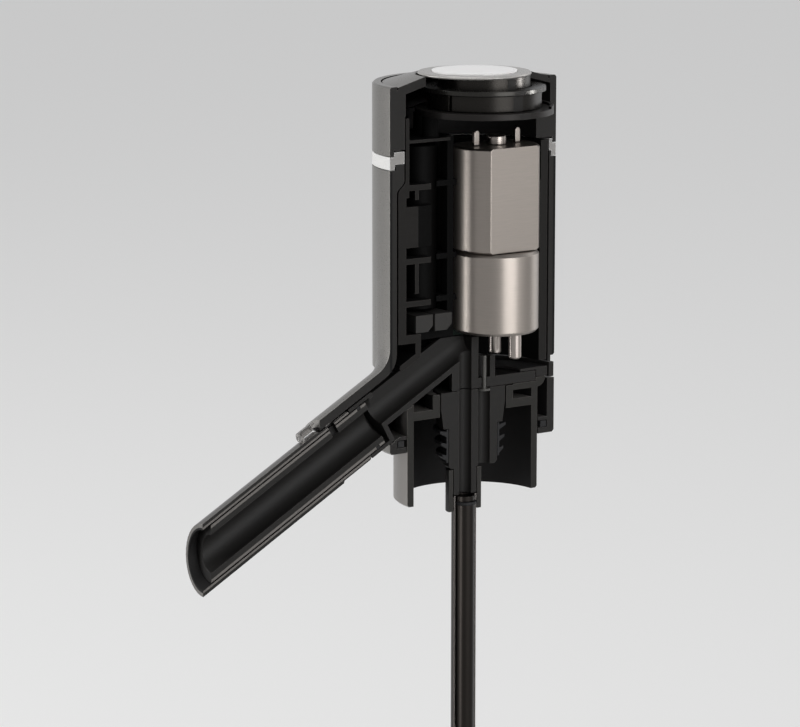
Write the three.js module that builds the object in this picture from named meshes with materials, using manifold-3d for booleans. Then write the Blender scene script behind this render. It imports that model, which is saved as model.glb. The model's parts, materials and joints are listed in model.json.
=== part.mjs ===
// Electric drink dispenser for the neck of a bottle, shown as a cutaway.
// The casings, frame, collar, stopper, connector, outer straw and spout are cut on the plane y = 0,
// and their half behind that plane stays. The button, motor, pump and inner straw are whole.
// Millimetres, +Z up. The origin is on the body's axis, at the seat for the bottle's lip.
import * as THREE from "three";
import { mergeVertices } from "three/addons/utils/BufferGeometryUtils.js";
import Module from "manifold-3d";

const wasm = await Module();
wasm.setup();

// Fits shared by all pieces
const seatGap = 0.2; // between two flat faces that rest on each other
const fitGap = 0.3; // around a piece that fits in or passes through another
const sealGap = 0.12; // on each side of a seal in its groove
const overrun = 1; // how far a cut runs past the faces that it opens
const bite = 0.2; // how far a rib runs into the wall that carries it
const mergeDistance = 1e-4;

// Facets round a full turn
const shellSides = 48;
const pieceSides = 36;
const smallSides = 16;

// Main casing
const bodyRadius = 27;
const casingWall = 2.2;
const casingHeight = 54.3;
const casingGroove = 1.6; // height of the shadow groove above the seam ring
const casingLipWall = 0.9;
const casingBevel = 0.5;
const neckHeight = 6.1; // the thicker wall under the trim ring
const neckShift = 1.2; // its bore lies off the body's axis
const neckWall = 3.4; // its mean thickness
const neckBlend = 3.2; // height of the curve from one bore to the other
const neckSteps = 6;
const rebateHeight = 1.4; // the casing's top edge stands up inside the trim band

// Trim ring
const trimBandHeight = 3.4;
const trimBandWall = 1.5;
const trimTongueWall = 1.3; // the tongue's outside lies this far inside the body's
const trimTongueRise = 1.2;

// Upper cap
const capHeight = 18.1;
const capBevel = 0.5;
const capTongueRoom = 1.5; // height of the groove for the trim ring's tongue
const capShoulderRise = 9.2; // the lower bore, up to the shoulder under the switch carrier
const capLowerSetback = 0.9; // the lower bore's axis lies on the spout's side
const capLowerWall = 5.7;
const capUpperShift = 1.5;
const capUpperWall = 3.5;
const capRimWidth = 2.3;
const capGrooveWidth = 0.35;
const capGrooveDepth = 0.9;
const capTopStep = 0.2; // the top plate starts this far below the rim
const capTopRise = 2.3; // from its foot to the well's edge
const capTopWall = 2.1;
const wellInset = 11.4; // from the body's outside to the well
const wellBevel = 0.3;

// Base ring
const ringDrop = 8.3;
const ringRise = 6.8;
const ringWall = 2.3;
const ringFootHeight = 1.5;
const ringRibDrop = 3.8; // the rib's top, below the lip seat
const ringRibHeight = 0.9;
const ringBevel = 0.6;
const sealWidth = 1.9; // the seal between the ring's rib and foot

// Seam ring between base ring and casing
const seamHeight = 4;
const seamWall = 1.5;
const seamInset = 0.2; // it stands back from the outside by this much

// Collar that goes over the bottle's lip
const skirtInset = 5.6; // from the body's outside
const skirtWall = 2;
const skirtDrop = 23.2;
const skirtBevel = 0.5;
const webHeight = 2.3;
const hubRadius = 13.2;
const hubWall = 2.3;
const hubRise = 6.1;
const collarHollow = 2.4; // height of the hollow between the web and the top disc
const collarDiscHeight = 1.7;
const flangeReach = 2.6; // outside the skirt
const flangeRise = 1; // the rim that stands up round the manifold's plate
const flangeSteps = 5;

// Clamp ring over the manifold's plate
const clampLap = 5.1; // over the plate
const clampLidHeight = 0.7;
const clampGap = 0.2; // inside the casing's bore

// Stopper and its silicone seal
const stopperRadius = 10.5;
const stopperWaistRadius = 9.7;
const stopperWaistDrop = 3.4;
const stopperDrop = 14.6;
const stopperCoreRadius = 7.9;
const stopperTipBevel = 0.7;
const wineBore = 4;
const wineOffset = 2.57; // the wine bore's axis lies this far to the spout's side
const airBore = 3.9;
const airOffset = 3.6;
const spigotWall = 1.7;
const spigotLength = 7.3;
const finCount = 3;
const finPitch = 3.2;
const finReach = 2.1;
const finRise = 1.1;
const finThickness = 0.7;
const finStart = 0.6; // the first fin's top, below the seal's top
const finFallShare = 0.18; // each fin reaches this share of the first less than the one above
const finSleeveWall = 0.6;

// Straws and their connector
const outerStrawRadius = 3.7;
const outerStrawWall = 0.5;
const outerStrawLength = 118;
const innerStrawRadius = 2.55;
const innerStrawWall = 0.4;
const innerStrawLength = 124;
const strawSealSetback = 1.4;
const strawSealHeight = 1;
const strawSealDepth = 0.25;
const connectorWall = 1.3;
const connectorLap = 4.1; // of the connector over the outer straw

// Spout
const spoutAngle = 29.2; // degrees below the level
const spoutHeight = 18.9; // where its axis crosses the body's axis
const nozzleRadius = 8.4;
const nozzleWall = 1.4;
const nozzleRootStep = 0.5; // its root, under the shroud, is thinner by this much
const nozzleRoot = 42; // along the spout's axis, from the body's axis
const nozzleReach = 85.2; // level distance from the body's axis to the mouth
const nozzleBevel = 0.4;
const linerWall = 2.3;
const linerSetback = 2.5;
const linerInsertion = 5.6;
const linerSealSetback = 1.8;
const linerSealWidth = 1.2;
const linerSealDepth = 0.8;
const socketLength = 8.2;
const socketEndWall = 1.4;
const shroudWall = 2.4;
const shroudAir = 0.5; // the air gap between shroud and nozzle
const shroudReach = 49.2; // level distance from the body's axis
const shroudChin = 2; // it wraps this far below the spout's axis
const visorReach = 33;
const visorDrop = 7.5;
const flareRadius = 7;
const flareSteps = 6;
const ventPlace = 47;
const ventLength = 2.2;
const ventHalfWidth = 1.6;
const hoodGap = 0.6;
const hoodLength = 5;
const hoodRadius = 3.2;
const hoodWall = 0.6;

// Manifold and check valve
const channelRise = 2.45; // its axis above the nozzle's
const channelBore = 8;
const channelWall = 1.4;
const channelSide = 2.9; // its side walls' height above its axis
const riserWall = 2.4;
const riserRise = 14; // above the plate's underside
const plateHeight = 2.7;
const plateInset = 0.7; // its edge inside the skirt's outside
const airSocketWall = 1.6;
const airSocketRise = 8.4; // above the plate's underside
const valveStemRadius = 0.55;
const valveStemRise = 0.2; // above the air socket
const valveHeadRadius = 1.6;
const valveHeadHeight = 0.5;

// Inner frame
const frameGap = 0.5; // to the casing
const frameWall = 2.5;
const frameFoot = 12;
const frameStepHeight = 1.4;
const frameNeckShift = 0.6;
const frameNeckGap = 0.4; // to the casing's neck
const frameNeckWall = 1.75;
const frameNeckDrop = 0.7; // below the cap
const tongueSetback = 1.45; // the tongue ends this far before the battery bay
const tongueRise = 0.4; // above the cap's shoulder
const ribHeight = 1.5;
const ribFront = 3; // past their short front part the ribs start this far behind the cut
const ribReach = 7.9; // of that front part, from the frame's wall
const ribLevelShares = [0.318, 0.51, 0.8395]; // of the height from the frame's foot to the cap
const bayRoom = 3.8; // the battery bay's width beyond a cell's
const ledgeHeight = 0.8;
const ledgeSetback = 1.2; // of its front corner, from the bay's edge
const dividerWidth = 2;
const dividerFront = 3;
const dividerDepth = 2.6;
const panelWidth = 9.1;
const panelFlat = 2.5; // the panel's front curves back from here
const panelCurve = 1.5;
const panelSteps = 5;
const panelDepth = 1.9;
const panelRise = 2.9;
const panelHeight = 10.8;
const postWidth = 1.2;
const postPlace = 2.8; // from the frame's wall
const postDepth = 1.7;
const lowPostGap = 1.9; // over the lowest rib
const highPostDrop = 2.5; // below the highest rib
const shelfGap = 0.4; // over the manifold's riser
const shelfHeight = 2.3;
const shelfWidth = 7.2; // from the frame's outside to the hook's edge
const windowDepth = 10.3; // from the frame's outside
const windowHalfWidth = 9.6;
const hookWall = 1.7;
const hookLength = 6.6;
const pillarHeight = 5.7;
const pillarRadius = 2.2;
const pillarPinRadius = 0.85;
const pillarPlaceShares = [
  [-0.81, 0.19],
  [-0.61, 0.7],
]; // of the switch carrier's radius, from its centre

// Battery, contacts, control board and power socket
const cellRadius = 5.25;
const cellTipRadius = 1.9;
const cellTipHeight = 0.8;
const cellBevel = 0.4;
const cellGap = 0.4;
const cellSpacing = 0.45;
const cellAngle = 151.5; // of the first cell, in degrees round the neck's axis, from +X
const contactHeight = 4.6;
const contactSpring = 0.8; // room under the cells for the contacts' spring
const contactWidth = 5.5;
const contactDepth = 7.4;
const contactFront = 0.3;
const contactChamfer = 1.6;
const contactSpacing = 0.65;
const boardRoom = 2.8; // between the motor and the board's parts
const boardHeight = 46;
const boardThickness = 1.2;
const boardRise = 2.5; // above the frame's foot
const boardPartDepth = 1.6;
const boardPartShares = [
  [0.12, 0.7, 0.42, 0.52],
  [0.2, 0.6, 0.62, 0.8],
  [0.55, 0.88, 0.86, 0.94],
]; // left, right, bottom and top of each part, of the board
const socketWidth = 8.9;
const socketHeight = 3.2;
const socketRise = 4.2; // above the frame's foot
const socketSetback = 0.6;
const socketWall = 0.35;
const socketBackWall = 1.2;
const socketTongueWidth = 6.6;
const socketTongueHeight = 0.7;

// Motor and pump
const motorY = 1.5;
const motorFlatDepth = 3.08; // the flats lie this far inside its round
const motorBevel = 0.5;
const motorHeadroom = 8.9; // under the switch carrier
const bearingRadius = 2.7;
const bearingHeight = 2.4;
const bearingBevel = 0.4;
const terminalPlaceShare = 0.58; // of the motor's radius
const terminalWidth = 1.5;
const terminalThickness = 1;
const terminalHeight = 3.9;
const terminalSteps = 6;
const pumpLeftGap = 1.27; // to the frame's divider
const pumpRightGap = 1.92; // to the frame's wall
const pumpGap = 1; // over the manifold's riser
const pumpHeight = 21.9;
const pumpBevel = 0.8;
const portSpread = 4.5;
const portShift = 2.1; // from the pump's axis
const portRadius = 1.75;
const portBoreRadius = 0.9;
const portLength = 6.9;
const portBevel = 0.4;

// Button and switch
const switchX = 3.2;
const carrierRoom = 5.1; // round it, in the cap's upper bore
const carrierHeight = 1.6;
const carrierLipWidth = 1;
const carrierLipHeight = 0.6;
const carrierLipShare = 0.62; // the lip stands past this share of the radius
const housingInset = 3.2; // from the carrier's edge
const housingWall = 1.5;
const housingHeight = 4.1;
const housingSlotWidth = 0.9;
const housingSlotAngle = -161.5; // degrees from +X
const retainerReach = 1.1; // past the housing
const retainerHeight = 1.15;
const retainerGap = 0.4; // round the button's sleeve
const buttonTravel = 1;
const buttonGap = 0.53; // round it, in the well
const buttonHeight = 0.8;
const buttonBevel = 0.35;
const buttonLift = 3.2; // the disc's underside above the retainer
const buttonRecess = 0.3;
const inlayInset = 3.77; // from the button's edge
const inlayHeight = 0.45;
const inlayCrown = 0.25;
const inlayMarkRadius = 0.4;
const inlayMarkInset = 1.1;
const inlayMarkAngle = -34.6; // degrees from +X
const sleeveInset = 3; // from the housing's outside
const sleeveWall = 1;
const sleeveLip = 0.9;
const sleeveLipHeight = 1;
const sleeveWebHeight = 1;
const plungerRadius = 2.2;
const tactWidth = 6;
const tactHeight = 3.4;
const tactKnobRadius = 1.7;
const tactKnobHeight = 0.9;
const springRadius = 5;
const springWall = 0.7;
const springWebGap = 1; // from the retainer's underside down to the sleeve's lip

// Levels, from the base ring up
const seamBottom = ringRise + fitGap;
const seamTop = seamBottom + seamHeight;
const casingLip = seamTop + fitGap;
const casingBottom = casingLip + casingGroove;
const casingTop = casingBottom + casingHeight;
const neckTop = casingTop + rebateHeight;
const neckBottom = casingTop - neckHeight;
const trimBottom = casingTop + seatGap;
const trimTop = trimBottom + trimBandHeight;
const capBottom = trimTop + seatGap;
const capTop = capBottom + capHeight;
const capShoulder = capBottom + capShoulderRise;
const discBottom = webHeight + collarHollow;
const discTop = discBottom + collarDiscHeight;
const flangeTop = discTop + flangeRise;
const plateBottom = discTop + seatGap;
const plateTop = plateBottom + plateHeight;
const clampBottom = plateTop + seatGap;
const clampTop = clampBottom + clampLidHeight;
const stopperTop = plateBottom - seatGap;
const riserTop = plateBottom + riserRise;
const airSocketTop = plateBottom + airSocketRise;
const shelfBottom = riserTop + shelfGap;
const shelfTop = shelfBottom + shelfHeight;
const frameStep = neckBottom - frameStepHeight;
const frameNeckTop = capBottom + capTongueRoom - frameNeckDrop;
const tongueTop = capShoulder + tongueRise;
const carrierBottom = capShoulder + fitGap;
const carrierTop = carrierBottom + carrierHeight;
const housingBottom = carrierTop + seatGap;
const housingTop = housingBottom + housingHeight;
const retainerBottom = housingTop + seatGap;
const retainerTop = retainerBottom + retainerHeight;
const buttonBottom = retainerTop + buttonLift;
const buttonTop = buttonBottom + buttonHeight;
const sleeveTop = buttonBottom - seatGap;
const sleeveLipTop = housingTop - springWebGap / 2;
const sleeveBottom = sleeveLipTop - sleeveLipHeight;
const tactBottom = carrierTop + seatGap;
const knobTop = tactBottom + tactHeight + tactKnobHeight;
const plungerTip = knobTop + fitGap + buttonTravel;
const pumpBottom = riserTop + pumpGap;
const pumpTop = pumpBottom + pumpHeight;
const motorBottom = pumpTop + seatGap;
const motorTop = carrierBottom - motorHeadroom;
const contactBottom = shelfTop + seatGap;
const cellBottom = contactBottom + contactHeight + contactSpring;
const ledgeTop = carrierBottom - pillarHeight;
const ledgeBottom = ledgeTop - ledgeHeight;
const cellTop = ledgeBottom - fitGap;
const spigotTip = -stopperDrop - spigotLength;
const strawTop = spigotTip - fitGap;
const connectorTop = -stopperDrop - fitGap;

// Radii that follow from them
const casingBore = bodyRadius - casingWall;
const neckBoreRadius = bodyRadius - neckWall;
const capLowerX = -capLowerSetback;
const capLowerRadius = bodyRadius - capLowerWall;
const capUpperRadius = bodyRadius - capUpperWall;
const wellRadius = bodyRadius - wellInset;
const skirtRadius = bodyRadius - skirtInset;
const skirtInner = skirtRadius - skirtWall;
const ringInner = bodyRadius - ringWall;
const plateRadius = skirtRadius - plateInset;
const clampInner = plateRadius - clampLap;
const seamOuter = bodyRadius - seamInset;
const seamInner = seamOuter - seamWall;
const frameRadius = casingBore - frameGap;
const frameInner = frameRadius - frameWall;
const frameNeckRadius = neckBoreRadius - frameNeckGap;
const frameNeckBore = frameNeckRadius - frameNeckWall;
const shelfEdge = shelfWidth - frameRadius;
const windowEdge = windowDepth - frameRadius;
const bayEdge = frameNeckShift - frameNeckBore + 2 * cellRadius + bayRoom;
const tongueEdge = bayEdge - tongueSetback;
const pumpLeft = bayEdge + dividerWidth + pumpLeftGap;
const pumpRight = frameInner - pumpRightGap;
const pumpRadius = (pumpRight - pumpLeft) / 2;
const motorX = (pumpRight + pumpLeft) / 2;
const motorRadius = pumpRadius;
const motorFlat = motorRadius - motorFlatDepth;
const nozzleRootRadius = nozzleRadius - nozzleRootStep;
const linerRadius = nozzleRadius - nozzleWall - fitGap;
const spoutBore = linerRadius - linerWall;
const socketInner = linerRadius + fitGap;
const socketRoot = nozzleRoot - fitGap - socketLength;
const channelRadius = channelBore / 2;
const channelOuter = channelRadius + channelWall;
const shroudInner = nozzleRootRadius + shroudAir;
const shroudOuter = shroudInner + shroudWall;
const wineX = -wineOffset;
const wineRadius = wineBore / 2;
const riserRadius = wineRadius + riserWall;
const airRadius = airBore / 2;
const spigotRadius = wineRadius + spigotWall;
const connectorInner = spigotRadius + fitGap;
const outerStrawInner = outerStrawRadius - outerStrawWall;
const contactSide = bayEdge - fitGap;
const carrierRadius = capUpperRadius - carrierRoom;
const housingRadius = carrierRadius - housingInset;
const housingInner = housingRadius - housingWall;
const retainerRadius = housingRadius + retainerReach;
const sleeveRadius = housingRadius - sleeveInset;
const buttonRadius = wellRadius - buttonGap;
const inlayRadius = buttonRadius - inlayInset;
const retainerInner = sleeveRadius + retainerGap;
const largest = 2 * (bodyRadius + nozzleReach + outerStrawLength); // for cuts that clear a side
const wholeSide = [-largest, largest];

// The spout's frame: its Z runs out along the spout, its X stands up from it
const spoutTurn = THREE.MathUtils.degToRad(spoutAngle);
const spoutSin = Math.sin(spoutTurn);
const spoutCos = Math.cos(spoutTurn);
const spout = new THREE.Group();
spout.rotation.y = -(Math.PI / 2 + spoutTurn);
spout.position.set(0, 0, spoutHeight);
spout.updateMatrix();
const fromSpout = spout.matrix.clone();
const toSpout = fromSpout.clone().invert();
// A place given along and above the spout's axis, as [x, z] in the section plane
const spoutPoint = (along, up) => [
  -along * spoutCos - up * spoutSin,
  spoutHeight - along * spoutSin + up * spoutCos,
];
// Height, at x, of the line that runs with the spout at a distance above its axis
const spoutLine = (x, up) => spoutHeight + x * Math.tan(spoutTurn) + up / spoutCos;
// The shroud's end over the nozzle, along the spout's axis
const shroudTip = (shroudReach - shroudInner * spoutSin) / spoutCos;

function solidFrom(geometry, frame) {
  if (frame) geometry.applyMatrix4(frame);
  geometry.deleteAttribute("normal");
  geometry.deleteAttribute("uv");
  const merged = mergeVertices(geometry, mergeDistance);
  const vertProperties = new Float32Array(merged.attributes.position.array);
  const triVerts = new Uint32Array(merged.index.array);
  return new wasm.Manifold(new wasm.Mesh({ numProp: 3, vertProperties, triVerts }));
}

function geometryFrom(solid) {
  const mesh = solid.getMesh();
  const geometry = new THREE.BufferGeometry();
  geometry.setAttribute("position", new THREE.BufferAttribute(mesh.vertProperties, 3));
  geometry.setIndex(new THREE.BufferAttribute(mesh.triVerts, 1));
  geometry.computeVertexNormals();
  return geometry;
}

const join = (...solids) => solids.reduce((whole, next) => whole.add(next));
const cut = (solid, ...tools) => tools.reduce((rest, tool) => rest.subtract(tool), solid);

// A solid of revolution about an upright axis. The profile is [radius, height] points.
function revolve(profile, { x = 0, y = 0, sides = pieceSides, frame } = {}) {
  const loop = profile[0][0] === 0 ? [...profile] : [...profile, profile[0]];
  const points = loop.map(([radius, height]) => new THREE.Vector2(radius, height));
  if (THREE.ShapeUtils.area(points) < 0) points.reverse();
  const geometry = new THREE.LatheGeometry(points, sides);
  geometry.rotateX(Math.PI / 2).translate(x, y, 0);
  return solidFrom(geometry, frame);
}

const rod = (radius, bottom, top, place) =>
  revolve([[0, bottom], [radius, bottom], [radius, top], [0, top]], place);

const tube = (inner, outer, bottom, top, place) =>
  revolve([[inner, bottom], [outer, bottom], [outer, top], [inner, top]], place);

// A rod whose lower and upper edges are bevelled
const bevelledRod = (radius, bottom, top, bevel, place) =>
  revolve(
    [
      [0, bottom],
      [radius - bevel, bottom],
      [radius, bottom + bevel],
      [radius, top - bevel],
      [radius - bevel, top],
      [0, top],
    ],
    place,
  );

function block([left, right], [front, back], [bottom, top], frame) {
  const geometry = new THREE.BoxGeometry(right - left, back - front, top - bottom);
  geometry.translate((left + right) / 2, (front + back) / 2, (bottom + top) / 2);
  return solidFrom(geometry, frame);
}

// An outline of [x, z] points in the section plane, drawn out from the front to the back
function prism(outline, front, back) {
  const shape = new THREE.Shape(outline.map(([x, z]) => new THREE.Vector2(x, z)));
  const geometry = new THREE.ExtrudeGeometry(shape, { depth: back - front, bevelEnabled: false });
  return solidFrom(geometry.rotateX(Math.PI / 2).translate(0, back, 0));
}

// An outline of [x, y] points, drawn out from a bottom to a top
function slab(outline, bottom, top) {
  const shape = new THREE.Shape(outline.map(([x, y]) => new THREE.Vector2(x, y)));
  const geometry = new THREE.ExtrudeGeometry(shape, { depth: top - bottom, bevelEnabled: false });
  return solidFrom(geometry.translate(0, 0, bottom));
}

// Takes away the half in front of the section plane
const cutaway = (solid) => cut(solid, block(wholeSide, [-largest, 0], wholeSide));

// The spout's root form: a cylinder round its axis that flares out to meet the upright wall
function shroudForm(radius, wallRadius) {
  const rise = flareRadius * (1 - spoutSin);
  const back = flareRadius * spoutCos;
  const meeting = (wallRadius - (radius + rise) * spoutSin) / spoutCos;
  const profile = [[0, 0], [radius + rise, 0]];
  for (let step = 0; step <= flareSteps; step += 1) {
    const angle = ((Math.PI / 2 - spoutTurn) * (flareSteps - step)) / flareSteps;
    profile.push([
      radius + flareRadius * (1 - Math.cos(angle)),
      meeting + back - flareRadius * Math.sin(angle),
    ]);
  }
  profile.push([radius, nozzleReach], [0, nozzleReach]);
  return revolve(profile, { sides: shellSides, frame: fromSpout });
}

const belowChin = (allowance) =>
  block([-largest, -shroudChin - allowance], wholeSide, wholeSide, fromSpout);

// What lies past the shroud's end and under its visor edge
function beyondShroud() {
  const edge = [
    [-shroudReach, spoutLine(-shroudReach, shroudInner)],
    [-visorReach, -visorDrop],
    [0, -visorDrop],
    [0, -largest],
    [-largest, -largest],
    [-largest, largest],
    [-shroudReach, largest],
  ];
  return join(prism(edge, -largest, largest), belowChin(0));
}

// Room for the spout in the rings that it passes through
function spoutRoom() {
  const shroud = cut(shroudForm(shroudOuter + fitGap, bodyRadius), belowChin(fitGap));
  return join(shroud, rod(nozzleRootRadius + fitGap, 0, nozzleReach, { frame: fromSpout }));
}

// Room for the manifold's channel, down to a little under its underside
function channelRoom() {
  const under = channelRise - channelOuter;
  const outline = [
    [-largest, spoutLine(-largest, under) - fitGap],
    [0, spoutLine(0, under) - fitGap],
    [0, largest],
    [-largest, largest],
  ];
  return prism(outline, -channelOuter, channelOuter + fitGap);
}

// Casings

function upperCap() {
  const capRimInner = bodyRadius - capRimWidth;
  const grooveInner = capRimInner - capGrooveWidth;
  const plateFoot = capTop - capTopStep;
  const wellTop = plateFoot + capTopRise;
  const slope = capTopRise / (grooveInner - wellRadius);
  const outside = revolve(
    [
      [0, capBottom],
      [bodyRadius, capBottom],
      [bodyRadius, capTop - capBevel],
      [bodyRadius - capBevel, capTop],
      [capRimInner, capTop],
      [capRimInner, capTop - capGrooveDepth],
      [grooveInner, capTop - capGrooveDepth],
      [grooveInner, plateFoot],
      [wellRadius + wellBevel, wellTop],
      [0, wellTop],
    ],
    { sides: shellSides },
  );
  const well = revolve(
    [
      [0, capBottom],
      [wellRadius, capBottom],
      [wellRadius, wellTop - wellBevel],
      [wellRadius + 2 * wellBevel, wellTop + wellBevel],
      [0, wellTop + wellBevel],
    ],
    { sides: shellSides },
  );
  const tongueRoom = bodyRadius - trimTongueWall + seatGap;
  const tongueGroove = rod(tongueRoom, 0, capBottom + capTongueRoom, { sides: shellSides });
  const lowerBore = rod(capLowerRadius, 0, capShoulder + overrun, {
    x: capLowerX,
    sides: shellSides,
  });
  const ceiling = wellTop - capTopWall;
  const upperBore = revolve(
    [
      [0, capShoulder],
      [capUpperRadius, capShoulder],
      [capUpperRadius, ceiling - slope * (capUpperRadius - wellRadius)],
      [wellRadius, ceiling],
      [0, ceiling],
    ],
    { x: capUpperShift, sides: shellSides },
  );
  return cutaway(cut(outside, well, tongueGroove, lowerBore, upperBore));
}

function trimRing() {
  const bandInner = bodyRadius - trimBandWall;
  const tongueRadius = bodyRadius - trimTongueWall;
  const ring = revolve(
    [
      [0, neckTop + seatGap],
      [bandInner, neckTop + seatGap],
      [bandInner, trimBottom],
      [bodyRadius, trimBottom],
      [bodyRadius, trimTop],
      [tongueRadius, trimTop],
      [tongueRadius, trimTop + trimTongueRise],
      [0, trimTop + trimTongueRise],
    ],
    { sides: shellSides },
  );
  return cutaway(cut(ring, rod(neckBoreRadius, 0, capTop, { x: neckShift, sides: shellSides })));
}

// A round form that turns into an eccentric circle in the casing's neck by an S-shaped curve
function neckForm(lowerRadius, upperRadius, bottom, top) {
  const easeAt = (height) => {
    const part = THREE.MathUtils.clamp((height - neckBottom) / neckBlend, 0, 1);
    return (1 - Math.cos(part * Math.PI)) / 2;
  };
  const points = [new THREE.Vector2(0, bottom), new THREE.Vector2(lowerRadius, bottom)];
  for (let step = 0; step <= neckSteps; step += 1) {
    const height = neckBottom + (neckBlend * step) / neckSteps;
    const radius = lowerRadius + (upperRadius - lowerRadius) * easeAt(height);
    points.push(new THREE.Vector2(radius, height));
  }
  points.push(new THREE.Vector2(upperRadius, top), new THREE.Vector2(0, top));
  const geometry = new THREE.LatheGeometry(points, shellSides).rotateX(Math.PI / 2);
  const place = geometry.attributes.position;
  for (let index = 0; index < place.count; index += 1) {
    place.setX(index, place.getX(index) + neckShift * easeAt(place.getZ(index)));
  }
  return solidFrom(geometry);
}

function mainCasing() {
  const lipRadius = casingBore + casingLipWall;
  const rebateRadius = bodyRadius - trimBandWall - fitGap;
  const wall = revolve(
    [
      [0, casingLip],
      [lipRadius, casingLip],
      [lipRadius, casingBottom],
      [bodyRadius - casingBevel, casingBottom],
      [bodyRadius, casingBottom + casingBevel],
      [bodyRadius, casingTop],
      [rebateRadius, casingTop],
      [rebateRadius, neckTop],
      [0, neckTop],
    ],
    { sides: shellSides },
  );
  const shroud = cut(shroudForm(shroudOuter, bodyRadius), beyondShroud());
  const inside = rod(casingBore, -largest, casingLip + overrun, { sides: shellSides });
  const hollow = neckForm(casingBore, neckBoreRadius, 0, capTop);
  const passage = shroudForm(shroudInner, casingBore);
  return cutaway(cut(join(wall, shroud), inside, hollow, passage, powerSocketRoom()));
}

function seamRing() {
  return cutaway(cut(tube(seamInner, seamOuter, seamBottom, seamTop, { sides: shellSides }), spoutRoom()));
}

function baseRing() {
  const footInner = skirtRadius + fitGap;
  const ring = revolve(
    [
      [footInner, -ringDrop],
      [bodyRadius - ringBevel, -ringDrop],
      [bodyRadius, ringBevel - ringDrop],
      [bodyRadius, ringRise],
      [ringInner, ringRise],
      [ringInner, -ringRibDrop],
      [footInner, -ringRibDrop],
      [footInner, -ringRibDrop - ringRibHeight],
      [ringInner, -ringRibDrop - ringRibHeight],
      [ringInner, ringFootHeight - ringDrop],
      [footInner, ringFootHeight - ringDrop],
    ],
    { sides: shellSides },
  );
  return cutaway(cut(ring, spoutRoom()));
}

function collarSeal() {
  const outer = ringInner - fitGap;
  const bottom = ringFootHeight - ringDrop + seatGap;
  const top = -ringRibDrop - ringRibHeight - seatGap;
  return cutaway(tube(outer - sealWidth, outer, bottom, top, { sides: shellSides }));
}

// Collar, stopper and straws

function neckCollar() {
  const flangeFoot = flangeTop - flangeReach;
  const profile = [
    [skirtInner, -skirtDrop],
    [skirtRadius - skirtBevel, -skirtDrop],
    [skirtRadius, skirtBevel - skirtDrop],
  ];
  for (let step = 0; step <= flangeSteps; step += 1) {
    const angle = (Math.PI / 2) * (step / flangeSteps);
    profile.push([
      skirtRadius + flangeReach * Math.sin(angle),
      flangeFoot + flangeReach * (1 - Math.cos(angle)),
    ]);
  }
  profile.push(
    [plateRadius + fitGap, flangeTop],
    [plateRadius + fitGap, discTop],
    [hubRadius, discTop],
    [hubRadius, hubRise],
    [hubRadius - hubWall, hubRise],
    [hubRadius - hubWall, 0],
    [skirtInner, 0],
  );
  const collar = revolve(profile, { sides: shellSides });
  const hollow = tube(hubRadius, skirtInner, webHeight, discBottom, { sides: shellSides });
  const pocket = cut(
    tube(hubRadius, skirtInner, webHeight, largest, { sides: shellSides }),
    block([0, largest], wholeSide, wholeSide),
    block(wholeSide, [channelOuter + fitGap, largest], wholeSide),
  );
  return cutaway(cut(collar, hollow, pocket, channelRoom()));
}

function clampRing() {
  const outer = casingBore - clampGap;
  const rimInner = plateRadius + fitGap;
  const ring = revolve(
    [
      [clampInner, clampBottom],
      [rimInner, clampBottom],
      [rimInner, flangeTop + seatGap],
      [outer, flangeTop + seatGap],
      [outer, clampTop],
      [clampInner, clampTop],
    ],
    { sides: shellSides },
  );
  const slot = block([-largest, 0], [0, channelOuter + fitGap], wholeSide);
  return cutaway(cut(ring, slot));
}

function bottleStopper() {
  const body = revolve([
    [0, -stopperDrop],
    [stopperCoreRadius - stopperTipBevel, -stopperDrop],
    [stopperCoreRadius, stopperTipBevel - stopperDrop],
    [stopperCoreRadius, -stopperWaistDrop],
    [stopperWaistRadius, -stopperWaistDrop],
    [stopperRadius, webHeight],
    [stopperRadius, stopperTop],
    [0, stopperTop],
  ]);
  const spigot = rod(spigotRadius, spigotTip, -stopperDrop + overrun, { x: wineX });
  const wine = rod(wineRadius, -largest, largest, { x: wineX });
  const air = rod(airRadius, -largest, largest, { x: airOffset });
  return cutaway(cut(join(body, spigot), wine, air));
}

function stopperSeal() {
  const inner = stopperCoreRadius + seatGap;
  const sleeve = inner + finSleeveWall;
  const top = -stopperWaistDrop - seatGap;
  const profile = [[inner, top], [sleeve, top]];
  for (let fin = 0; fin < finCount; fin += 1) {
    const level = top - finStart - fin * finPitch;
    const tip = sleeve + finReach * (1 - finFallShare * fin);
    profile.push(
      [sleeve, level],
      [tip, level + finRise - finThickness],
      [tip, level + finRise - 2 * finThickness],
      [sleeve, level - 2 * finThickness],
    );
  }
  const bottom = top - finStart - (finCount - 1) * finPitch - 3 * finThickness;
  profile.push([sleeve, bottom], [inner, bottom]);
  return cutaway(revolve(profile));
}

function strawConnector() {
  const bottom = strawTop - connectorLap;
  const place = { x: wineX, sides: pieceSides };
  return cutaway(
    tube(connectorInner, connectorInner + connectorWall, bottom, connectorTop, place),
  );
}

function outerStraw() {
  const place = { x: wineX, sides: pieceSides };
  return cutaway(
    tube(outerStrawInner, outerStrawRadius, strawTop - outerStrawLength, strawTop, place),
  );
}

function innerStraw() {
  const bore = innerStrawRadius - innerStrawWall;
  const grooveTop = strawTop - strawSealSetback;
  const profile = [
    [bore, strawTop - innerStrawLength],
    [innerStrawRadius, strawTop - innerStrawLength],
    [innerStrawRadius, grooveTop - strawSealHeight],
    [innerStrawRadius - strawSealDepth, grooveTop - strawSealHeight],
    [innerStrawRadius - strawSealDepth, grooveTop],
    [innerStrawRadius, grooveTop],
    [innerStrawRadius, strawTop],
    [bore, strawTop],
  ];
  return revolve(profile, { x: wineX, sides: smallSides });
}

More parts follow.
